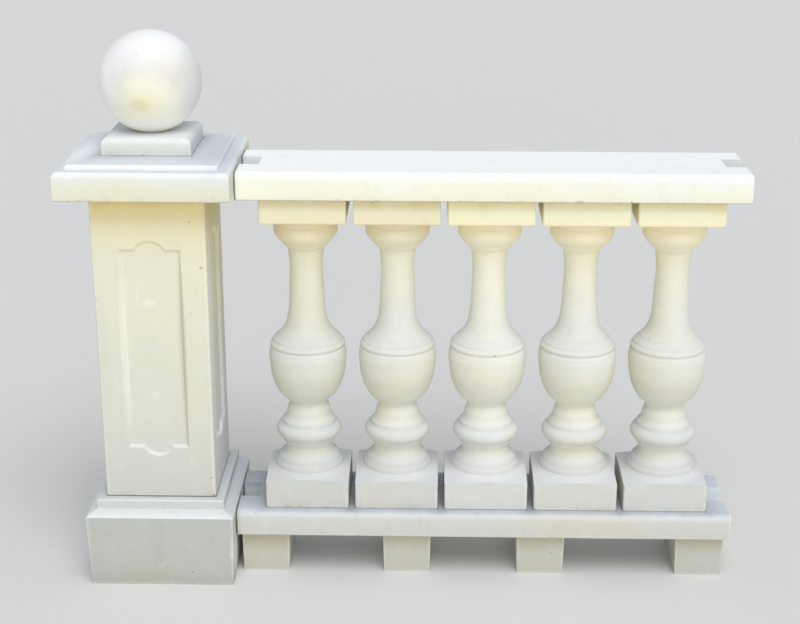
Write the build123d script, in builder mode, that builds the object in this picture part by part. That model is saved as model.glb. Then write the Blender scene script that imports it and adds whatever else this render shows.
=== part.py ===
from build123d import *
import math
import os

os.makedirs("parts", exist_ok=True)

# Cast stone balustrade: one pier with a ball finial and one bay of five balusters
# between a bottom rail and a hand rail. The stones are dry stacked.
# +X runs along the bay, away from the pier, +Y to the back and +Z up.
# The origin is the middle of the pier base, on the ground. All sizes are in mm.

# Bay
BAY_LENGTH = 1250.0        # pier centre to the centre of the next pier
FAR_JOINT = 10.0           # the bottom rail stops this far short of the next pier
BALUSTER_COUNT = 5
BALUSTER_PITCH = 173.0

# Levels
FOOT_BLOCK_HEIGHT = 88.0
RAIL_HEIGHT = 52.0
BALUSTER_HEIGHT = 620.0
PIER_BASE_HEIGHT = 173.0
CAP_LIFT = 11.0            # underside of the cap above the underside of the hand rail

# Pier base
PIER_BASE_SIDE = 282.0
PIER_BASE_FOOT_SIDE = 274.0    # the block draws in a little towards the ground
PIER_BASE_FACE_HEIGHT = 143.0
PIER_BASE_BEVEL = 5.0
PIER_BASE_SLOPE_RISE = 7.0
PIER_BASE_STEP_SIDE = 244.0
STEP_ROUNDING = 4.0

# Pier shaft and its sunk panels
PIER_SHAFT_SIDE = 210.0
SHAFT_ARRIS = 3.0
PANEL_WIDTH = 116.0
PANEL_MARGIN = 102.0           # from each end of the shaft to the panel's shoulders
PANEL_ARCH_WIDTH = 58.0
PANEL_ARCH_RISE = 17.0
PANEL_DEPTH = 6.0
PANEL_WALL_ANGLE = 40.0

# Pier cap
CAP_SIDE = 316.0
CAP_SLAB_HEIGHT = 54.0
CAP_ROUNDING = 11.0
CAP_UNDER_ROUNDING = 4.0
CAP_TIER_SIDE = 272.0
CAP_TIER_HEIGHT = 9.0
CAP_TIER_ROUNDING = 6.0
CAP_SLOPE_RISE = 4.0

# Ball and its plinth
BALL_PLINTH_SIDE = 163.0
BALL_PLINTH_HEIGHT = 32.0
BALL_PLINTH_ROUNDING = 13.0
BALL_DIAMETER = 187.0
BALL_SINK = 5.0                # how deep the ball sits in the dish of its plinth

# Rails
RAIL_WIDTH = 196.0
RAIL_ROUNDING = 14.0           # long upper edges
RAIL_ARRIS = 3.5               # all other edges
SLOT_WIDTH = 60.0
SLOT_LENGTH = 39.0

# Baluster, radii and heights of its mouldings
ABACUS_SIDE = 160.0
ABACUS_HEIGHT = 50.0
ABACUS_ARRIS = 4.5
CORNER_HEIGHT = 52.0           # upright corners of the square foot
CUSHION_RADIUS = 67.0          # round cushion that rises out of the square foot
CUSHION_EDGE_RISE = 14.0
CUSHION_BAND_HEIGHT = 7.5      # upright edge of the cushion, above a fine quirk
CUSHION_RISE = 19.0
CUSHION_TOP_RADIUS = 50.5
SCOTIA_RADIUS = 45.0
SCOTIA_HEIGHT = 23.5
TORUS_RADIUS = 63.5
TORUS_FILLET_RADIUS = 52.0     # upright fillets below and above the torus
LOWER_FILLET_HEIGHT = 8.5
TORUS_HEIGHT = 27.0
UPPER_FILLET_HEIGHT = 7.0
COLLAR_RADIUS = 42.6
COLLAR_HEIGHT = 14.0
WAIST_RADIUS = 35.8
WAIST_HEIGHT = 27.5
BOWL_FOOT_RADIUS = 40.0
BOWL_RADIUS = 74.2
BOWL_HEIGHT = 107.0
BOWL_LIP_RADIUS = 72.3
GROOVE_HEIGHT = 8.0
GROOVE_DEPTH = 2.0
BEAD_HEIGHT = 12.0             # from the lip, the groove included
SHOULDER_RADIUS = 66.0
SHOULDER_RISE = 6.5
BELL_FOOT_RADIUS = 55.5        # a second, softer ring stands below the bell
BELL_FOOT_RISE = 11.5
NECK_RADIUS = 31.8
NECK_TOP_RADIUS = 34.0
CAVETTO_HEIGHT = 10.5
ASTRAGAL_RADIUS = 42.5         # small ring between the neck and the ovolo
ASTRAGAL_HEIGHT = 7.5
OVOLO_FOOT_RADIUS = 46.5
OVOLO_HEIGHT = 21.0
CAPITAL_RADIUS = 60.4
CAPITAL_BAND_HEIGHT = 13.0
CAPITAL_FILLET_HEIGHT = 16.0
CAPITAL_STEP = 1.2

# Foot blocks
FOOT_BLOCK_WIDTH = 94.0
FOOT_BLOCK_DEPTH = 152.0
FOOT_BLOCK_DRAFT = 2.0         # each side draws in this much towards the ground
FOOT_BLOCK_ARRIS = 2.0
FOOT_BLOCK_END_INSET = 55.0    # middle of the outer blocks from the ends of the rail
FOOT_BLOCK_INNER = (0.346, 0.619)  # places of the inner blocks along the rail

# Sizes that follow from the ones above
rail_low = FOOT_BLOCK_HEIGHT
baluster_foot = rail_low + RAIL_HEIGHT
hand_rail_low = baluster_foot + BALUSTER_HEIGHT
cap_low = hand_rail_low + CAP_LIFT
shaft_height = cap_low - PIER_BASE_HEIGHT
tier_low = cap_low + CAP_SLAB_HEIGHT
slope_low = tier_low + CAP_TIER_HEIGHT
ball_plinth_low = slope_low + CAP_SLOPE_RISE
ball_plinth_top = ball_plinth_low + BALL_PLINTH_HEIGHT
ball_radius = BALL_DIAMETER / 2
ball_centre = ball_plinth_top + ball_radius - BALL_SINK
bay_middle = BAY_LENGTH / 2
end_arris = 0.8 * RAIL_ARRIS
hand_rail_start = CAP_SIDE / 2
hand_rail_length = BAY_LENGTH - CAP_SIDE
bottom_rail_start = PIER_BASE_SIDE / 2
bottom_rail_length = BAY_LENGTH - PIER_BASE_SIDE - FAR_JOINT
first_baluster = bay_middle - BALUSTER_PITCH * (BALUSTER_COUNT - 1) / 2

# Pier base: a tall block drawn in at the foot. Its top is bevelled, slopes up to the
# step and ends in the ledge that the shaft stands on.
bevel_top = PIER_BASE_FACE_HEIGHT + PIER_BASE_BEVEL
step_low = bevel_top + PIER_BASE_SLOPE_RISE
base_levels = (
    (0, PIER_BASE_FOOT_SIDE),
    (PIER_BASE_FACE_HEIGHT, PIER_BASE_SIDE),
    (bevel_top, PIER_BASE_SIDE - 2 * PIER_BASE_BEVEL),
    (step_low, PIER_BASE_STEP_SIDE),
)
with BuildPart() as pier_base:
    for level, side in base_levels:
        with BuildSketch(Plane.XY.offset(level)):
            Rectangle(side, side)
    loft(ruled=True)
    with BuildSketch(Plane.XY.offset(step_low)):
        Rectangle(PIER_BASE_STEP_SIDE, PIER_BASE_STEP_SIDE)
    extrude(amount=PIER_BASE_HEIGHT - step_low)
    fillet(pier_base.edges().group_by(Axis.Z)[-1], radius=STEP_ROUNDING)
pier_base.part.label = "pier_base"
export_step(pier_base.part, "parts/pier_base.step")

# Pier shaft: a square post with a sunk panel on each face, arched at both ends
panel_half = PANEL_WIDTH / 2
panel_rise = shaft_height / 2 - PANEL_MARGIN
arch_half = PANEL_ARCH_WIDTH / 2
arch_tip = panel_rise + PANEL_ARCH_RISE
with BuildPart() as pier_shaft:
    with BuildSketch(Plane.XY.offset(PIER_BASE_HEIGHT)):
        Rectangle(PIER_SHAFT_SIDE, PIER_SHAFT_SIDE)
    extrude(amount=shaft_height)
    fillet(pier_shaft.edges(), radius=SHAFT_ARRIS)
    for turn in (0, 90, 180, 270):
        facing = Plane(
            origin=Vector(0, -PIER_SHAFT_SIDE / 2, 0).rotate(Axis.Z, turn)
            + Vector(0, 0, PIER_BASE_HEIGHT + shaft_height / 2),
            x_dir=Vector(1, 0, 0).rotate(Axis.Z, turn),
            z_dir=Vector(0, -1, 0).rotate(Axis.Z, turn),
        )
        with BuildSketch(facing):
            with BuildLine():
                Line((-panel_half, -panel_rise), (-panel_half, panel_rise))
                Line((-panel_half, panel_rise), (-arch_half, panel_rise))
                ThreePointArc((-arch_half, panel_rise), (0, arch_tip), (arch_half, panel_rise))
                Line((arch_half, panel_rise), (panel_half, panel_rise))
                Line((panel_half, panel_rise), (panel_half, -panel_rise))
                Line((panel_half, -panel_rise), (arch_half, -panel_rise))
                ThreePointArc((arch_half, -panel_rise), (0, -arch_tip), (-arch_half, -panel_rise))
                Line((-arch_half, -panel_rise), (-panel_half, -panel_rise))
            make_face()
        extrude(amount=-PANEL_DEPTH, taper=PANEL_WALL_ANGLE, mode=Mode.SUBTRACT)
pier_shaft.part.label = "pier_shaft"
export_step(pier_shaft.part, "parts/pier_shaft.step")

# Pier cap: a rounded slab, a lower tier set back on it and a gently sloped top
with BuildPart() as pier_cap:
    with BuildSketch(Plane.XY.offset(cap_low)):
        Rectangle(CAP_SIDE, CAP_SIDE)
    extrude(amount=CAP_SLAB_HEIGHT)
    fillet(pier_cap.edges().filter_by(Axis.Z), radius=SHAFT_ARRIS)
    fillet(pier_cap.edges().group_by(Axis.Z)[-1], radius=CAP_ROUNDING)
    fillet(pier_cap.edges().group_by(Axis.Z)[0], radius=CAP_UNDER_ROUNDING)
    with BuildSketch(Plane.XY.offset(tier_low)):
        Rectangle(CAP_TIER_SIDE, CAP_TIER_SIDE)
    extrude(amount=CAP_TIER_HEIGHT)
    fillet(pier_cap.edges().group_by(Axis.Z)[-1], radius=CAP_TIER_ROUNDING)
    with BuildSketch(Plane.XY.offset(slope_low)):
        Rectangle(CAP_TIER_SIDE - 2 * CAP_TIER_ROUNDING, CAP_TIER_SIDE - 2 * CAP_TIER_ROUNDING)
    with BuildSketch(Plane.XY.offset(ball_plinth_low)):
        Rectangle(BALL_PLINTH_SIDE, BALL_PLINTH_SIDE)
    loft(ruled=True)
pier_cap.part.label = "pier_cap"
export_step(pier_cap.part, "parts/pier_cap.step")

# Ball plinth: a small rounded slab with a dish that the ball sits in
with BuildPart() as ball_plinth:
    with BuildSketch(Plane.XY.offset(ball_plinth_low)):
        Rectangle(BALL_PLINTH_SIDE, BALL_PLINTH_SIDE)
    extrude(amount=BALL_PLINTH_HEIGHT)
    fillet(ball_plinth.edges().filter_by(Axis.Z), radius=SHAFT_ARRIS)
    fillet(ball_plinth.edges().group_by(Axis.Z)[-1], radius=BALL_PLINTH_ROUNDING)
    with Locations((0, 0, ball_centre)):
        Sphere(ball_radius, mode=Mode.SUBTRACT)
ball_plinth.part.label = "ball_plinth"
export_step(ball_plinth.part, "parts/ball_plinth.step")

# Ball finial
with BuildPart() as ball_finial:
    with Locations((0, 0, ball_centre)):
        Sphere(ball_radius)
ball_finial.part.label = "ball_finial"
export_step(ball_finial.part, "parts/ball_finial.step")

# Bottom rail and hand rail: slabs with round upper edges and an open slot in each end
rails = (
    ("bottom_rail", bottom_rail_start, rail_low, bottom_rail_length),
    ("hand_rail", hand_rail_start, hand_rail_low, hand_rail_length),
)
for rail_name, rail_start, underside, rail_length in rails:
    with BuildPart() as rail:
        with BuildSketch(Plane.YZ.offset(rail_start)) as rail_outline:
            with Locations((0, underside + RAIL_HEIGHT / 2)):
                Rectangle(RAIL_WIDTH, RAIL_HEIGHT)
            fillet(rail_outline.vertices().group_by(Axis.Y)[-1], radius=RAIL_ROUNDING)
            fillet(rail_outline.vertices().group_by(Axis.Y)[0], radius=RAIL_ARRIS)
        extrude(amount=rail_length)
        fillet(rail.edges().group_by(Axis.X)[0], radius=end_arris)
        fillet(rail.edges().group_by(Axis.X)[-1], radius=end_arris)
        with Locations((rail_start, 0, underside), (rail_start + rail_length, 0, underside)):
            Box(2 * SLOT_LENGTH, SLOT_WIDTH, 3 * RAIL_HEIGHT, mode=Mode.SUBTRACT)
    rail.part.label = rail_name
    export_step(rail.part, f"parts/{rail_name}.step")

# Heights of the baluster's mouldings above its foot
half = ABACUS_SIDE / 2
corner_radius = half * math.sqrt(2)
cushion_edge = CORNER_HEIGHT + CUSHION_EDGE_RISE
cushion_band = cushion_edge + CUSHION_BAND_HEIGHT
cushion_top = cushion_band + CUSHION_RISE
scotia_top = cushion_top + SCOTIA_HEIGHT
torus_low = scotia_top + LOWER_FILLET_HEIGHT
torus_top = torus_low + TORUS_HEIGHT
collar_foot = torus_top + UPPER_FILLET_HEIGHT
collar_top = collar_foot + COLLAR_HEIGHT
bowl_foot = collar_top + WAIST_HEIGHT
bowl_lip = bowl_foot + BOWL_HEIGHT
bead_top = bowl_lip + BEAD_HEIGHT
shoulder_top = bead_top + SHOULDER_RISE
bell_foot = shoulder_top + BELL_FOOT_RISE
abacus_low = BALUSTER_HEIGHT - ABACUS_HEIGHT
band_top = abacus_low - CAPITAL_FILLET_HEIGHT
ovolo_top = band_top - CAPITAL_BAND_HEIGHT
ovolo_foot = ovolo_top - OVOLO_HEIGHT
astragal_low = ovolo_foot - ASTRAGAL_HEIGHT
neck_top = astragal_low - CAVETTO_HEIGHT
bell_height = neck_top - bell_foot

# The square foot: a box cut by the round cushion, so each upper edge is an arch
with BuildPart() as baluster_foot_block:
    with BuildSketch(Plane.XZ):
        with BuildLine():
            Line((0, 0), (corner_radius, 0))
            Line((corner_radius, 0), (corner_radius, CORNER_HEIGHT))
            ThreePointArc(
                (corner_radius, CORNER_HEIGHT),
                ((corner_radius + half) / 2, CORNER_HEIGHT + CUSHION_EDGE_RISE * 0.16),
                (half, CORNER_HEIGHT + CUSHION_EDGE_RISE * 0.4),
            )
            ThreePointArc(
                (half, CORNER_HEIGHT + CUSHION_EDGE_RISE * 0.4),
                ((half + CUSHION_RADIUS) / 2, CORNER_HEIGHT + CUSHION_EDGE_RISE * 0.62),
                (CUSHION_RADIUS, cushion_edge),
            )
            ThreePointArc(
                (CUSHION_RADIUS, cushion_edge),
                (CUSHION_RADIUS - 0.6, cushion_edge + CUSHION_BAND_HEIGHT * 0.65),
                (CUSHION_RADIUS - 3, cushion_band + 1.5),
            )
            Spline(
                (CUSHION_RADIUS - 3, cushion_band + 1.5),
                (CUSHION_TOP_RADIUS + 8, cushion_top - CUSHION_RISE * 0.42),
                (CUSHION_TOP_RADIUS, cushion_top),
                tangents=((-1, 0.8), (-1, 1.1)),
            )
            Line((CUSHION_TOP_RADIUS, cushion_top), (0, cushion_top))
            Line((0, cushion_top), (0, 0))
        make_face()
    revolve(axis=Axis.Z)
    Box(
        ABACUS_SIDE,
        ABACUS_SIDE,
        cushion_top,
        align=(Align.CENTER, Align.CENTER, Align.MIN),
        mode=Mode.INTERSECT,
    )

# The turned body from the scotia up to the capital, revolved from one outline
with BuildPart() as baluster_body:
    with BuildSketch(Plane.XZ):
        with BuildLine():
            Line((0, cushion_top), (CUSHION_TOP_RADIUS, cushion_top))
            ThreePointArc(
                (CUSHION_TOP_RADIUS, cushion_top),
                (SCOTIA_RADIUS, (cushion_top + scotia_top) / 2),
                (TORUS_FILLET_RADIUS - 1, scotia_top),
            )
            Line((TORUS_FILLET_RADIUS - 1, scotia_top), (TORUS_FILLET_RADIUS, torus_low))
            Line((TORUS_FILLET_RADIUS, torus_low), (TORUS_FILLET_RADIUS + 2, torus_low + 0.5))
            ThreePointArc(
                (TORUS_FILLET_RADIUS + 2, torus_low + 0.5),
                (TORUS_RADIUS, (torus_low + torus_top) / 2),
                (TORUS_FILLET_RADIUS + 2.5, torus_top - 1),
            )
            Line((TORUS_FILLET_RADIUS + 2.5, torus_top - 1), (TORUS_FILLET_RADIUS, torus_top))
            Line((TORUS_FILLET_RADIUS, torus_top), (TORUS_FILLET_RADIUS - 0.5, collar_foot))
            Spline(
                (TORUS_FILLET_RADIUS - 0.5, collar_foot),
                (COLLAR_RADIUS + 3.2, collar_foot + COLLAR_HEIGHT * 0.4),
                (COLLAR_RADIUS, collar_top),
                tangents=((-1, 0.6), (0, 1)),
            )
            ThreePointArc(
                (COLLAR_RADIUS, collar_top),
                (COLLAR_RADIUS - 1.6, collar_top + WAIST_HEIGHT * 0.35),
                (WAIST_RADIUS + 0.8, collar_top + WAIST_HEIGHT * 0.72),
            )
            ThreePointArc(
                (WAIST_RADIUS + 0.8, collar_top + WAIST_HEIGHT * 0.72),
                (WAIST_RADIUS + 1.2, collar_top + WAIST_HEIGHT * 0.87),
                (BOWL_FOOT_RADIUS, bowl_foot),
            )
            Spline(
                (BOWL_FOOT_RADIUS, bowl_foot),
                (BOWL_RADIUS - 20, bowl_foot + BOWL_HEIGHT * 0.13),
                (BOWL_RADIUS - 10, bowl_foot + BOWL_HEIGHT * 0.3),
                (BOWL_RADIUS - 3, bowl_foot + BOWL_HEIGHT * 0.53),
                (BOWL_RADIUS, bowl_foot + BOWL_HEIGHT * 0.8),
                (BOWL_LIP_RADIUS, bowl_lip),
                tangents=((1, 0.9), (-0.25, 1)),
            )
            ThreePointArc(
                (BOWL_LIP_RADIUS, bowl_lip),
                (BOWL_LIP_RADIUS - GROOVE_DEPTH, bowl_lip + GROOVE_HEIGHT / 2),
                (BOWL_LIP_RADIUS - 0.5, bowl_lip + GROOVE_HEIGHT),
            )
            ThreePointArc(
                (BOWL_LIP_RADIUS - 0.5, bowl_lip + GROOVE_HEIGHT),
                (BOWL_LIP_RADIUS - 0.7, bowl_lip + (GROOVE_HEIGHT + BEAD_HEIGHT) / 2),
                (BOWL_LIP_RADIUS - 2, bead_top),
            )
            Line((BOWL_LIP_RADIUS - 2, bead_top), (SHOULDER_RADIUS + 0.5, shoulder_top - 2.5))
            Line((SHOULDER_RADIUS + 0.5, shoulder_top - 2.5), (SHOULDER_RADIUS, shoulder_top))
            ThreePointArc(
                (SHOULDER_RADIUS, shoulder_top),
                (BELL_FOOT_RADIUS + 6.4, shoulder_top + BELL_FOOT_RISE * 0.32),
                (BELL_FOOT_RADIUS, bell_foot - 2),
            )
            Line((BELL_FOOT_RADIUS, bell_foot - 2), (BELL_FOOT_RADIUS - 1, bell_foot))
            Spline(
                (BELL_FOOT_RADIUS - 1, bell_foot),
                (NECK_RADIUS + 7.1, bell_foot + bell_height * 0.155),
                (NECK_RADIUS + 2.5, bell_foot + bell_height * 0.335),
                (NECK_RADIUS + 0.2, bell_foot + bell_height * 0.65),
                (NECK_RADIUS + 0.4, bell_foot + bell_height * 0.9),
                (NECK_TOP_RADIUS, neck_top),
                (ASTRAGAL_RADIUS - 1.5, astragal_low),
                tangents=((-0.85, 0.7), (1, 0.7)),
            )
            Line((ASTRAGAL_RADIUS - 1.5, astragal_low), (ASTRAGAL_RADIUS, astragal_low + 1))
            Line((ASTRAGAL_RADIUS, astragal_low + 1), (ASTRAGAL_RADIUS + 0.4, ovolo_foot - 0.5))
            Line((ASTRAGAL_RADIUS + 0.4, ovolo_foot - 0.5), (OVOLO_FOOT_RADIUS + 1.5, ovolo_foot + 0.3))
            Spline(
                (OVOLO_FOOT_RADIUS + 1.5, ovolo_foot + 0.3),
                (CAPITAL_RADIUS - 5, ovolo_foot + OVOLO_HEIGHT * 0.42),
                (CAPITAL_RADIUS, ovolo_top),
                tangents=((1, 0.7), (0.05, 1)),
            )
            Line((CAPITAL_RADIUS, ovolo_top), (CAPITAL_RADIUS, band_top))
            Line((CAPITAL_RADIUS, band_top), (CAPITAL_RADIUS - CAPITAL_STEP, band_top + 1.5))
            Line((CAPITAL_RADIUS - CAPITAL_STEP, band_top + 1.5), (CAPITAL_RADIUS - CAPITAL_STEP, abacus_low + 4))
            Line((CAPITAL_RADIUS - CAPITAL_STEP, abacus_low + 4), (0, abacus_low + 4))
            Line((0, abacus_low + 4), (0, cushion_top))
        make_face()
    revolve(axis=Axis.Z)

# The square abacus
with BuildPart() as abacus:
    with BuildSketch(Plane.XY.offset(abacus_low)):
        Rectangle(ABACUS_SIDE, ABACUS_SIDE)
    extrude(amount=ABACUS_HEIGHT)
    fillet(abacus.edges(), radius=ABACUS_ARRIS)

# One casting: square foot, turned body and square abacus
with BuildPart() as baluster:
    add(baluster_foot_block.part)
    fillet(baluster.edges().filter_by(Axis.Z), radius=ABACUS_ARRIS)
    add(baluster_body.part)
    add(abacus.part)

for index in range(BALUSTER_COUNT):
    with BuildPart() as placed_baluster:
        with Locations((first_baluster + index * BALUSTER_PITCH, 0, baluster_foot)):
            add(baluster.part)
    placed_baluster.part.label = f"baluster_{index + 1}"
    export_step(placed_baluster.part, f"parts/baluster_{index + 1}.step")

# Foot blocks: four small stones that keep the bottom rail off the ground
bottom_rail_end = bottom_rail_start + bottom_rail_length
foot_block_x = [bottom_rail_start + FOOT_BLOCK_END_INSET]
foot_block_x += [bottom_rail_start + place * bottom_rail_length for place in FOOT_BLOCK_INNER]
foot_block_x += [bottom_rail_end - FOOT_BLOCK_END_INSET]
for index, block_x in enumerate(foot_block_x):
    with BuildPart() as foot_block:
        with BuildSketch(Plane.XY):
            with Locations((block_x, 0)):
                RectangleRounded(
                    FOOT_BLOCK_WIDTH - 2 * FOOT_BLOCK_DRAFT,
                    FOOT_BLOCK_DEPTH - 2 * FOOT_BLOCK_DRAFT,
                    FOOT_BLOCK_ARRIS,
                )
        with BuildSketch(Plane.XY.offset(FOOT_BLOCK_HEIGHT)):
            with Locations((block_x, 0)):
                RectangleRounded(FOOT_BLOCK_WIDTH, FOOT_BLOCK_DEPTH, FOOT_BLOCK_ARRIS)
        loft(ruled=True)
    foot_block.part.label = f"foot_block_{index + 1}"
    export_step(foot_block.part, f"parts/foot_block_{index + 1}.step")
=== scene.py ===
import math

import bpy
from mathutils import Matrix, Vector


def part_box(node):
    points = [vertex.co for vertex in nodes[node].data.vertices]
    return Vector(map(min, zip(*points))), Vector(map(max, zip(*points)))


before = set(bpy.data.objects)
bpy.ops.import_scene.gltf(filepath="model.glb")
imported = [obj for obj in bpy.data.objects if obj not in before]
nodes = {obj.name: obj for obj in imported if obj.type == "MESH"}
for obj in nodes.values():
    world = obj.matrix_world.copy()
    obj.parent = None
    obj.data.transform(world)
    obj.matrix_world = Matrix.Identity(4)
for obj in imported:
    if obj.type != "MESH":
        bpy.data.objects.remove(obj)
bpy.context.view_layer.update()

# Pier base: a tall block of white cast stone with a low step on top, drawn in a
# little towards its underside. It was cast face down in a mould and stands by its own
# weight. Its front is painted a darker, cool grey for the dimmer light low down, and
# splashes have soiled its foot.


class Value:
    """A socket of the stone or sky being made. Python's operators on it add Math nodes."""

    tree = None

    def __init__(self, socket):
        self.socket = socket

    @classmethod
    def node(cls, kind, settings=None, inputs=None, out=0):
        """Adds a node of one kind: its settings first, then values or links for its inputs."""
        made = cls.tree.nodes.new("ShaderNode" + kind)
        settings = dict(settings or {})
        stops = settings.pop("stops", ())
        for name, setting in settings.items():
            setattr(made, name, setting)
        if stops:
            row = made.color_ramp.elements
            for element, (place, colour) in zip(row, (stops[0], stops[-1])):
                element.position = place
                element.color = (*colour, 1)
            for place, colour in stops[1:-1]:
                row.new(place).color = (*colour, 1)
        for name, value in (inputs or {}).items():
            if isinstance(value, Value):
                cls.tree.links.new(value.socket, made.inputs[name])
            else:
                made.inputs[name].default_value = value
        return cls(made.outputs[out])

    @classmethod
    def math(cls, operation, *values):
        return cls.node("Math", {"operation": operation}, dict(enumerate(values)))

    def __add__(self, other):
        return Value.math("ADD", self, other)

    def __radd__(self, other):
        return Value.math("ADD", other, self)

    def __sub__(self, other):
        return Value.math("SUBTRACT", self, other)

    def __rsub__(self, other):
        return Value.math("SUBTRACT", other, self)

    def __mul__(self, other):
        return Value.math("MULTIPLY", self, other)

    def __rmul__(self, other):
        return Value.math("MULTIPLY", other, self)

    def __truediv__(self, other):
        return Value.math("DIVIDE", self, other)

    def __rtruediv__(self, other):
        return Value.math("DIVIDE", other, self)

    def __pow__(self, other):
        return Value.math("POWER", self, other)

    def __rpow__(self, other):
        return Value.math("POWER", other, self)

    def __abs__(self):
        return Value.math("ABSOLUTE", self)


def rising(value, low, high):
    """0 as far as low, 1 from high on, and a smooth step between. low may be the greater."""
    settings = {"interpolation_type": "SMOOTHSTEP"}
    return Value.node("MapRange", settings, {"Value": value, "From Min": low, "From Max": high})


def mixed(share, below, above, blend="MIX"):
    """A colour between two colours, by a share from 0 to 1."""
    settings = {"data_type": "RGBA", "blend_type": blend}
    pair = [v if isinstance(v, Value) else (*v, 1) for v in (below, above)]
    return Value.node("Mix", settings, {0: share, 6: pair[0], 7: pair[1]}, out=2)


def noise(place, scale, detail=2.0, roughness=0.5):
    """Cloudy noise from 0 to 1, with its middle at 0.5."""
    inputs = {"Vector": place, "Scale": scale, "Detail": detail, "Roughness": roughness}
    return Value.node("TexNoise", {}, inputs)


def tone(code):
    """A colour written as six hex digits, as the shader wants it."""
    levels = [int(code[i:i + 2], 16) / 255 for i in (0, 2, 4)]
    return tuple(v / 12.92 if v < 0.04045 else ((v + 0.055) / 1.055) ** 2.4 for v in levels)


def plan_distance(x, y, low, high):
    """Distance in plan from the sides of a box: below 0 inside it and above 0 outside."""
    across = abs(x - (low[0] + high[0]) / 2) - (high[0] - low[0]) / 2
    through = abs(y - (low[1] + high[1]) / 2) - (high[1] - low[1]) / 2
    return Value.math("MAXIMUM", across, through)


STREAKS = (46.0, 46.0, 2.6)  # scales that make a streak narrow and long


def weathered(colour, place, up, upright_face, cloud, blotch, sand):
    """Warm and cold clouds, yellow and white blotches, streaks down the sides and grains."""
    warm = rising(cloud, 0.42, 0.68) * (0.10 + 0.20 * upright_face)
    cold = rising(cloud, 0.52, 0.30) * 0.25
    colour = mixed(warm, colour, tone("FFF6DA"), "MULTIPLY")
    colour = mixed(cold, colour, tone("F1F4F8"), "MULTIPLY")
    colour = mixed(rising(blotch, 0.54, 0.74) * 0.16, colour, tone("DFD6BC"), "MULTIPLY")
    colour = mixed(rising(blotch, 0.46, 0.28) * 0.09, colour, tone("FFFFFA"))
    drawn_out = Value.node("Mapping", {}, {"Vector": place, "Scale": STREAKS})
    streak = rising(noise(drawn_out, 1.0, 3.0, 0.55), 0.55, 0.8) * rising(up, 0.5, 0.1)
    colour = mixed(streak * 0.08, colour, tone("CFC7AE"), "MULTIPLY")
    return mixed(rising(sand, 0.56, 0.72) * 0.10, colour, tone("A89F87"))


BUBBLE_CELLS = 42.0  # scale of the cells that may hold an air bubble


def air_bubbles(place):
    """1 in the pits that bubbles left at the mould's face: few cells have one, each its size."""
    cell = {"Vector": place, "Scale": BUBBLE_CELLS}
    distance = Value.node("TexVoronoi", {}, cell, out="Distance")
    picked = Value.node("TexVoronoi", {}, cell, out="Color")
    chance = Value.node("SeparateColor", {}, {0: picked}, out=0)
    size = 0.035 + 0.075 * Value.node("SeparateColor", {}, {0: picked}, out=1)
    return rising(distance / size, 1.0, 0.55) * rising(chance, 0.86, 0.87)


ARRIS_WIDTH = 0.0075  # how far the wear reaches from an arris


def arris_wear(axes, block, blotch):
    """1 along the arrises of a squared stone. Of the distances to the nearest face along each
    axis, the middle one is 0 there, and it is their sum less the least and the most."""
    sides = [Value.math("MINIMUM", v - a, b - v) for v, a, b in zip(axes, *block)]
    least = Value.math("MINIMUM", Value.math("MINIMUM", sides[0], sides[1]), sides[2])
    most = Value.math("MAXIMUM", Value.math("MAXIMUM", sides[0], sides[1]), sides[2])
    middle = sides[0] + sides[1] + sides[2] - least - most
    return rising(middle + 0.007 * (blotch - 0.5), ARRIS_WIDTH, 0.0)


JOINT_EDGE = 0.0022  # the dark line of a joint begins here
JOINT_CORE = 0.0004  # and is darkest from here
DUST_EDGE = 0.014  # dust has settled as far as this from a joint
DUST_CORE = 0.001


def jointed(colour, joints, blotch):
    """A thin dark line in each open joint, and the dust that has settled beside it."""
    for gap, share in joints:
        line = rising(gap, JOINT_EDGE, JOINT_CORE) * share
        dust = rising(gap, DUST_EDGE, DUST_CORE) * rising(blotch, 0.35, 0.7) * share
        colour = mixed(line * 0.80, colour, tone("4E4D4B"))
        colour = mixed(dust * 0.28, colour, tone("B9AE93"), "MULTIPLY")
    return colour


CLOUD_SCALE = 5.0  # slow changes in the mix
BLOTCH_SCALE = 32.0  # marks the size of a thumb
SAND_SCALE = 620.0  # single grains
CHIP_SCALE = 85.0  # chips along an arris
CONTACT_SHADE_WIDTH = 0.040  # how far painted contact shade darkens a stone round one that stands on it
SPLASH_HEIGHT = 0.045  # how high rain throws dirt up the lowest stones


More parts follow.
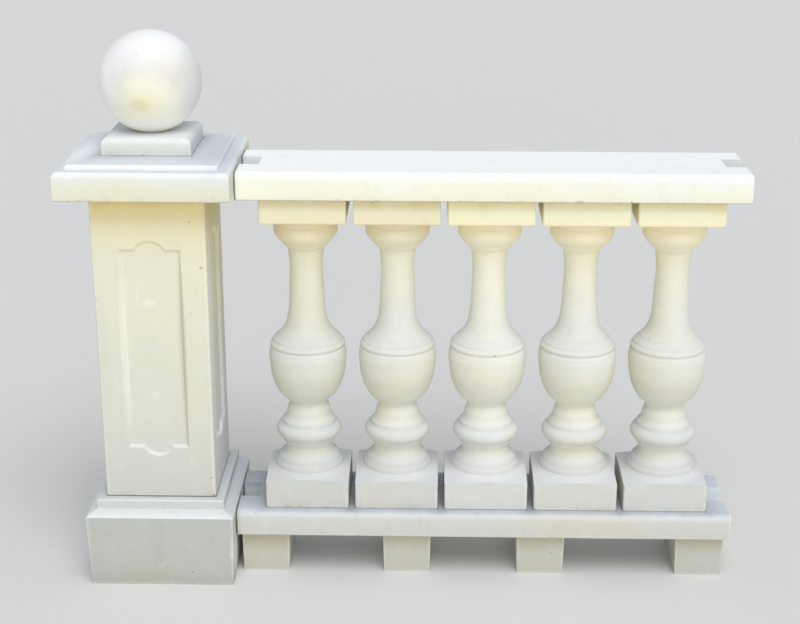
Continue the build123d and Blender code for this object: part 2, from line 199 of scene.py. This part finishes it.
def cast_stone(name, upright, low, high, top, turn=(0.25, 0.9), seams=(), ends=(), carries=(),
               hollows=(), block=None, marks=(), seed=0):
    """White cast stone. upright lists (share of the height from low to high, colour) for the
    faces that stand, top is the colour of the faces that look up, and turn says between which
    upward slants one becomes the other; both hold painted light and shade besides the stone's
    own tone. seams are the heights and ends the distances along the bay of open joints,
    carries the corners of the stones that stand on this one, round which painted shade
    darkens the faces that look up, hollows the corners of slots and the colour painted on
    their walls for the light inside them, block the corners of a squared stone whose arrises
    are worn, and marks are soft spots: (centre, radii, colour, strength), stains and chips
    as well as painted light and shade."""
    stone = bpy.data.materials.new(name)
    stone.use_nodes = True
    Value.tree = stone.node_tree
    shader = stone.node_tree.nodes["Principled BSDF"]
    real = Value.node("TexCoord", out="Object")
    offset = (seed * 1.7, seed * 2.3, seed * 0.9)
    place = Value.node("VectorMath", {"operation": "ADD"}, {0: real, 1: offset})
    x, y, z = (Value.node("SeparateXYZ", {}, {0: real}, out=axis) for axis in "XYZ")
    facing = Value.node("NewGeometry", out="Normal")
    up = Value.node("SeparateXYZ", {}, {0: facing}, out="Z")
    upright_face = rising(up, 0.75, 0.45)
    cloud = noise(place, CLOUD_SCALE, 3.0)
    blotch = noise(place, BLOTCH_SCALE, 5.0, 0.62)
    sand = noise(place, SAND_SCALE, 3.0, 0.7)

    height = (z + 0.012 * (blotch - 0.5) - low) / (high - low)
    # the tones by height and the top colour hold painted light and shade besides the stone's own
    # tone
    wall = Value.node("ValToRGB", {"stops": [(p, tone(c)) for p, c in upright]}, {0: height})
    colour = mixed(rising(up, *turn), wall, tone(top))
    # the upright walls of each slot take a colour painted for the light and shade inside it
    for near_corner, far_corner, shade in hollows:
        inside = rising(plan_distance(x, y, near_corner, far_corner), 0.0015, 0.0005)
        colour = mixed(inside * upright_face, colour, tone(shade))
    colour = weathered(colour, place, up, upright_face, cloud, blotch, sand)

    pit = air_bubbles(place)
    colour = mixed(pit * 0.5, colour, tone("8F8770"))
    relief = 0.00010 * sand + 0.00045 * blotch + 0.0010 * cloud - 0.0007 * pit
    rough = 0.78 + 0.12 * (blotch - 0.5) + 0.1 * pit

    if block:
        worn = arris_wear((x, y, z), block, blotch)
        chipped = worn * rising(noise(place, CHIP_SCALE, 2.0), 0.60, 0.70)
        colour = mixed(worn * 0.22, colour, tone("FFFEF8"))
        colour = mixed(chipped * 0.35, colour, tone("C4BA9E"))
        relief = relief - 0.0009 * chipped

    uneven = 0.0012 * (blotch - 0.5)
    joints = [(abs(z + uneven - level), upright_face * 0.50) for level in seams]
    joints += [(abs(x + uneven - end) - 0.0020, 0.95) for end in ends]
    for near_corner, far_corner in carries:
        outside = plan_distance(x, y, near_corner, far_corner)
        # painted shade on the faces that look up, round the foot of each stone that stands on
        # this one
        contact_shade = rising(outside, CONTACT_SHADE_WIDTH, 0.0) * rising(up, 0.5, 0.9)
        colour = mixed(contact_shade * 0.36, colour, tone("AEB4BC"), "MULTIPLY")
        joints.append((outside, (1.0 - upright_face) * 0.65))
    colour = jointed(colour, joints, blotch)

    splash = rising(z + 0.03 * (blotch - 0.5), SPLASH_HEIGHT, 0.0)
    colour = mixed(splash * 0.15, colour, tone("A8A294"), "MULTIPLY")

    # soft spots: stains and chips, and painted light and shade where a side is lighter or darker
    for centre, radii, stain_and_painted_light, strength in marks:
        away = [((v - c) / r) ** 2.0 for v, c, r in zip((x, y, z), centre, radii)]
        spot = rising(away[0] + away[1] + away[2] + 0.7 * (blotch - 0.5), 1.0, 0.0)
        colour = mixed(spot * strength, colour, tone(stain_and_painted_light))

    normal = Value.node("Bump", {}, {"Strength": 1.0, "Distance": 1.0, "Height": relief})
    for value, socket in ((colour, "Base Color"), (rough, "Roughness"), (normal, "Normal")):
        stone.node_tree.links.new(value.socket, shader.inputs[socket])
    shader.inputs["Specular IOR Level"].default_value = 0.35
    return stone


def finish_node(node, stone):
    """A carried-over stone keeps its shape and gets its finish."""
    nodes[node].data.materials.clear()
    nodes[node].data.materials.append(stone)


def corners(node):
    """Lowest and highest corners of a stone."""
    low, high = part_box(node)
    return tuple(low), tuple(high)


base_low, base_high = corners("pier_base")
finish_node("pier_base", cast_stone(
    "pier_base_stone",
    # the front is painted a darker cool grey for the dimmer light low down
    [(0.0, "B9BCB5"), (0.5, "BEC1BC"), (0.85, "C0C3BF"), (0.88, "D0D3D0"), (1.0, "D1D3D2")],
    base_low[2], base_high[2], "DFE2E3", turn=(0.3, 0.68),
    carries=[corners("pier_shaft")], block=(base_low, base_high),
    marks=[
        ((0.135, 0.000, 0.155), (0.034, 0.180, 0.034), "B4BBC4", 0.60),  # painted cool shade on the right shoulder
        ((0.141, 0.000, 0.060), (0.014, 0.200, 0.090), "F6F8F4", 0.80),  # painted light on the right face, which stands in shade
    ], seed=1,
))

# Pier shaft: a square post of white cast stone with a sunk panel on each face. The
# panel's arched ends were formed by a block fixed inside the mould. A warm cream shade
# is painted under the cap, and the stone is painted less yellow and darker towards its
# foot, as the light there is dimmer.
shaft_low, shaft_high = corners("pier_shaft")
finish_node("pier_shaft", cast_stone(
    "pier_shaft_stone",
    # painted warm shade under the cap at the top, and painted darker towards the foot
    [
        (0.0, "CFCFC8"), (0.1, "D3D3CB"), (0.27, "DDDDD0"), (0.5, "E4E3D1"),
        (0.8, "F0EDD4"), (0.9, "FBF1C8"), (0.96, "F9E7AA"), (1.0, "F4DA8B"),
    ],
    shaft_low[2], shaft_high[2], "DBDCD6",
    seams=[shaft_low[2], shaft_high[2]], block=(shaft_low, shaft_high),
    marks=[
        ((0.0946, -0.105, 0.6350), (0.0045, 0.010, 0.0022), "6E695E", 0.60),  # chip
        ((-0.0052, -0.099, 0.5620), (0.0170, 0.010, 0.0130), "FBFAF2", 0.35),  # lime
        ((-0.0260, -0.099, 0.5820), (0.0050, 0.010, 0.0240), "FBFAF2", 0.30),  # lime
        ((-0.0025, -0.099, 0.3790), (0.0120, 0.010, 0.0150), "F6F5EC", 0.32),  # lime
        ((0.1014, -0.105, 0.1765), (0.0040, 0.006, 0.0025), "4F4B44", 0.8),  # chip
        ((-0.1000, -0.105, 0.4200), (0.0260, 0.014, 0.2300), "D5D3C8", 0.35),  # darker along the left arris
        ((-0.0550, -0.102, 0.4720), (0.0085, 0.010, 0.2300), "FFFFF6", 0.38),  # painted light on the panel's left rim
        ((0.0545, -0.102, 0.4720), (0.0095, 0.010, 0.2400), "C2BFB0", 0.60),  # and painted shade on its right rim
        ((0.1050, 0.000, 0.7400), (0.0120, 0.150, 0.0800), "D9C68E", 0.45),  # painted warm shade under the cap on the right face
        ((0.1050, 0.000, 0.2700), (0.0120, 0.150, 0.2600), "E0E3E8", 0.60),  # painted cool light on the right face
        ((0.1080, -0.085, 0.5200), (0.0065, 0.036, 0.3000), "E4E7F2", 0.70),  # painted light on the right face near its front arris
    ], seed=2,
))

# Pier cap: a rounded slab of white cast stone with a lower tier and a gentle slope
# that sheds the rain. It lies on the shaft by its own weight. The slope is painted in a
# cool grey shade, and the front edge is ivory.
cap_low, cap_high = corners("pier_cap")
finish_node("pier_cap", cast_stone(
    "pier_cap_stone",
    [(0.0, "E9E7CD"), (0.4, "ECECDA"), (0.7, "EEF1EE"), (0.8, "F0F3F3"), (1.0, "F5F8FA")],
    cap_low[2], cap_high[2], "D9DFE6", turn=(0.72, 0.995),
    seams=[cap_low[2]], carries=[corners("ball_plinth")], block=(cap_low, cap_high),
    marks=[
        ((-0.125, 0.000, 0.820), (0.040, 0.170, 0.040), "F3F7FA", 0.75),  # painted light on the left slope
        ((0.160, 0.000, 0.795), (0.016, 0.200, 0.050), "C6CACC", 0.55),  # painted shade on the right edge
        ((0.125, 0.000, 0.824), (0.040, 0.170, 0.040), "BFC5CC", 0.60),  # painted shade on the right slope
    ], seed=3,
))

# Ball plinth: a small square slab of white cast stone with a shallow dish in its top,
# where the ball is bedded. It is the greyest of the cap stones, with painted shade on its
# right side.
plinth_low, plinth_high = corners("ball_plinth")
finish_node("ball_plinth", cast_stone(
    "ball_plinth_stone",
    [(0.0, "D6DBDE"), (0.5, "DEE4E5"), (1.0, "E8ECED")],
    plinth_low[2], plinth_high[2], "DFE3E8",
    seams=[plinth_low[2]], block=(plinth_low, plinth_high),
    # painted shade on the plinth's right side
    marks=[((0.082, 0.000, 0.852), (0.014, 0.110, 0.030), "C3C9CE", 0.60)], seed=4,
))

# Ball finial: a ball of white cast stone from a two-part mould, rubbed smooth and
# bedded in the plinth's dish. A warm stain has bled through low on its front. Its tones
# by height are painted for the light on the round ball, near white low down and darker
# in the middle, with painted light on its left side and painted shade on its right.
ball_low, ball_high = corners("ball_finial")
ball_centre = [(a + b) / 2 for a, b in zip(ball_low, ball_high)]
ball_radius = (ball_high[2] - ball_low[2]) / 2
stain_centre = (ball_centre[0] - 0.006, ball_centre[1] - 0.090, ball_centre[2] - 0.026)
halo_centre = (ball_centre[0] + 0.002, ball_centre[1] - 0.090, ball_centre[2] - 0.022)
# centres of the painted light on the ball's left side and the painted shade on its right
painted_light_side = (ball_centre[0] - ball_radius, ball_centre[1] - 0.030, ball_centre[2])
painted_shade_side = (ball_centre[0] + ball_radius, ball_centre[1] - 0.030, ball_centre[2])
finish_node("ball_finial", cast_stone(
    "ball_finial_stone",
    # painted near white low down and darker in the middle, for the light on the round ball
    [
        (0.0, "FEFCF0"), (0.2, "FEFCF0"), (0.4, "F4F2E6"),
        (0.6, "E5E4DF"), (0.8, "E7E7E7"), (1.0, "F0F1F2"),
    ],
    ball_low[2], ball_high[2], "F4F5F6",
    marks=[
        # painted light on the left side, painted shade on the right side
        (painted_light_side, (0.085, 0.100, 0.090), "FFFFFE", 0.90),
        (painted_shade_side, (0.060, 0.090, 0.090), "D8DADA", 0.55),
        (halo_centre, (0.078, 0.060, 0.066), "FBF8E0", 0.75),
        (halo_centre, (0.042, 0.050, 0.030), "F9F2CC", 0.65),
        (stain_centre, (0.025, 0.050, 0.016), "F0E2BE", 0.75),
    ], seed=5,
))

# Bottom rail: a slab of white cast stone with round upper edges and an open slot in
# each end for a key of mortar. It lies on the foot blocks and carries the balusters.
# Its top is painted in a cool grey shade, darker round the balusters' feet and by the pier.
SLOT_LENGTH = 0.039
SLOT_HALF_WIDTH = 0.030


def end_slots(low, high, near_shade, far_shade):
    """Corners of the slots at both ends of a rail, with the colours painted on their walls for
    the light inside them.
    """
    slots = []
    for start, shade in ((low[0], near_shade), (high[0] - SLOT_LENGTH, far_shade)):
        front_corner = (start, -SLOT_HALF_WIDTH, low[2])
        back_corner = (start + SLOT_LENGTH, SLOT_HALF_WIDTH, high[2])
        slots.append((front_corner, back_corner, shade))
    return slots


rail_low, rail_high = corners("bottom_rail")
finish_node("bottom_rail", cast_stone(
    "bottom_rail_stone",
    [(0.0, "CECEC7"), (0.6, "D4D4CE"), (1.0, "DADCDC")],
    rail_low[2], rail_high[2], "C9CED6", ends=[rail_low[0]],
    carries=[corners(f"baluster_{number}") for number in range(1, 6)],
    # the slot walls are painted for the light and shade inside the slots
    hollows=end_slots(rail_low, rail_high, "CCD4DC", "D8DEE2"), block=(rail_low, rail_high),
    # painted shade on the top near the pier
    marks=[((0.165, 0.030, 0.142), (0.060, 0.125, 0.018), "8F969F", 0.65)], seed=6,
))

# Hand rail: the same kind of slab, laid on the balusters. Its top is painted a cold
# white for the light that falls on it, and its front edge is ivory.
hand_low, hand_high = corners("hand_rail")
finish_node("hand_rail", cast_stone(
    "hand_rail_stone",
    [(0.0, "F6F5E0"), (0.5, "FAFAEC"), (1.0, "FAFBF5")],
    hand_low[2], hand_high[2], "FBFEFF",
    seams=[hand_low[2]], ends=[hand_low[0]],
    # the slot walls are painted for the light and shade inside the slots
    hollows=end_slots(hand_low, hand_high, "E9F0F6", "DADFE3"), block=(hand_low, hand_high),
    marks=[
        ((0.785, -0.098, 0.7625), (0.0040, 0.010, 0.0020), "8A8373", 0.5),  # chip
        ((0.875, -0.098, 0.7625), (0.0035, 0.010, 0.0022), "7C7667", 0.6),  # chip
    ], seed=7,
))

# Balusters: each is one casting of white stone from a two-part mould, with a square
# foot, torus, collar, bowl, bell, neck and capital under a square abacus. They stand
# on the bottom rail by their own weight. Their tones are painted lighter and darker at
# the mouldings for the light and shade on each, and warm under the abacus and the hand rail.
# tones by height, painted lighter and darker at the mouldings for the light and shade on each
BODY_TONES = [
    (0.0, "D1D1CE"), (0.08, "D4D5D1"), (0.13, "CECFD0"), (0.165, "E3E3D4"), (0.23, "D7D7D3"),
    (0.3, "ECEBDD"), (0.33, "E5E4D4"), (0.4, "E2E0D0"), (0.46, "E8E7DA"), (0.53, "DADAD4"),
    (0.57, "DDDDD5"), (0.62, "E8E7DC"), (0.8, "F5F2D9"),
]
# painted warm shade under the abacus and, at the top of the abacus, under the hand rail
CAPITAL_TONES = [(0.86, "FCF4D4"), (0.91, "FBEEC8"), (0.96, "FFFAD8"), (1.0, "F9E5AC")]
# how bright the body and the capital of each baluster are beside these tones
BALUSTER_LEVELS = ((0.985, 0.980), (1.002, 0.975), (1.024, 1.016), (1.012, 1.014), (1.006, 1.012))


def scaled_tone(code, level):
    """A tone brought to a share of its level."""
    return "".join(f"{min(255, round(int(code[i:i + 2], 16) * level)):02X}" for i in (0, 2, 4))


for number, (body_level, capital_level) in enumerate(BALUSTER_LEVELS, 1):
    name = f"baluster_{number}"
    foot, head = corners(name)
    body = [(share, scaled_tone(code, body_level)) for share, code in BODY_TONES]
    capital = [(share, scaled_tone(code, capital_level)) for share, code in CAPITAL_TONES]
    finish_node(name, cast_stone(
        f"{name}_stone", body + capital, foot[2], head[2],
        scaled_tone("D3D6D9", body_level), turn=(0.55, 1.0),
        seams=[foot[2], head[2]], block=(foot, head), seed=10 + number,
    ))

# Foot blocks: four small stones of white cast stone that carry the bottom rail, so
# that water drains away under it. They are darker and yellower close under the rail.
for number in range(1, 5):
    name = f"foot_block_{number}"
    foot, head = corners(name)
    finish_node(name, cast_stone(
        f"{name}_stone",
        [(0.0, "C9CAC3"), (0.5, "C8C7BD"), (0.85, "C6C1AB"), (1.0, "C0B593")],
        foot[2], head[2], "F3F4F6",
        seams=[head[2]], block=(foot, head), seed=20 + number,
    ))

# Floor: one plain pale sheet that reaches far past the view. The stones stand on it
# and it keeps their shadow.
FLOOR_SIZE = 120.0
floor_mesh = bpy.data.meshes.new("floor")
reach = FLOOR_SIZE / 2
floor_mesh.from_pydata(
    [(-reach, -reach, 0), (reach, -reach, 0), (reach, reach, 0), (-reach, reach, 0)],
    [], [(0, 1, 2, 3)],
)
floor = bpy.data.objects.new("floor", floor_mesh)
bpy.context.scene.collection.objects.link(floor)
pale_floor = bpy.data.materials.new("pale_floor")
pale_floor.use_nodes = True
floor_shader = pale_floor.node_tree.nodes["Principled BSDF"]
floor_shader.inputs["Base Color"].default_value = (0.72, 0.72, 0.71, 1)
floor_shader.inputs["Roughness"].default_value = 0.9
floor_mesh.materials.append(pale_floor)


# Light: a hazy sun high in front and a little to the right, the bright low sky in
# front, a weak cool one from the right, and an even cool sky all round. What the
# camera and the gloss of the stones see of the sky is plain pale grey.
def soft_sun(name, direction, spread, strength, colour):
    """A sun lamp that shines along direction from a disc spread degrees wide."""
    lamp = bpy.data.lights.new(name, "SUN")
    lamp.angle = math.radians(spread)
    lamp.energy = strength
    lamp.color = colour
    sun = bpy.data.objects.new(name, lamp)
    sun.rotation_euler = Vector(direction).to_track_quat("-Z", "Y").to_euler()
    bpy.context.scene.collection.objects.link(sun)


soft_sun("key_sun", (-0.6, 2.0, -3.4), 42.0, 1.74, (1.0, 1.0, 1.0))
soft_sun("front_sun", (-0.5, 4.4, -0.7), 36.0, 0.73, (1.0, 0.985, 0.94))
soft_sun("side_sun", (-3.2, 1.0, -1.2), 40.0, 0.14, (0.92, 0.96, 1.0))

sky = bpy.data.worlds.new("sky")
bpy.context.scene.world = sky
sky.use_nodes = True
sky_light = sky.node_tree.nodes["Background"]
sky_light.inputs["Color"].default_value = (0.90, 0.94, 1.0, 1)
sky_light.inputs["Strength"].default_value = 0.42
seen_sky = sky.node_tree.nodes.new("ShaderNodeBackground")
seen_sky.inputs["Color"].default_value = (0.80, 0.81, 0.81, 1)
Value.tree = sky.node_tree
seen = Value.node("LightPath", out="Is Camera Ray")
for ray in ("Is Glossy Ray", "Is Transmission Ray"):
    seen = Value.math("MAXIMUM", seen, Value.node("LightPath", out=ray))
either = Value.node("MixShader", {}, {
    0: seen, 1: Value(sky_light.outputs[0]), 2: Value(seen_sky.outputs[0]),
})
sky.node_tree.links.new(either.socket, sky.node_tree.nodes["World Output"].inputs["Surface"])

# Camera: at about eye level in front of the middle of the part, looking down on it
# with a long lens.
CAMERA_PLACE = (0.51239, -2.79834, 1.48357)
CAMERA_DOWN = math.radians(19.06)
CAMERA_TURN = math.radians(-1.14)
CAMERA_ROLL = math.radians(0.12)
LENS = 69.65
SENSOR = 36.0
ahead = Vector((
    math.sin(CAMERA_TURN) * math.cos(CAMERA_DOWN),
    math.cos(CAMERA_TURN) * math.cos(CAMERA_DOWN),
    -math.sin(CAMERA_DOWN),
))
right = ahead.cross(Vector((0, 0, 1))).normalized()
down = ahead.cross(right)
view_x = right * math.cos(CAMERA_ROLL) - down * math.sin(CAMERA_ROLL)
view_y = -(right * math.sin(CAMERA_ROLL) + down * math.cos(CAMERA_ROLL))
lens = bpy.data.cameras.new("camera")
lens.lens = LENS
lens.sensor_width = SENSOR
lens.sensor_fit = "HORIZONTAL"
lens.clip_end = 200.0
camera = bpy.data.objects.new("camera", lens)
camera.matrix_world = Matrix.Translation(CAMERA_PLACE) @ Matrix(
    (view_x, view_y, -ahead)
).transposed().to_4x4()
bpy.context.scene.collection.objects.link(camera)
bpy.context.scene.camera = camera
bpy.context.scene.view_settings.view_transform = "Standard"
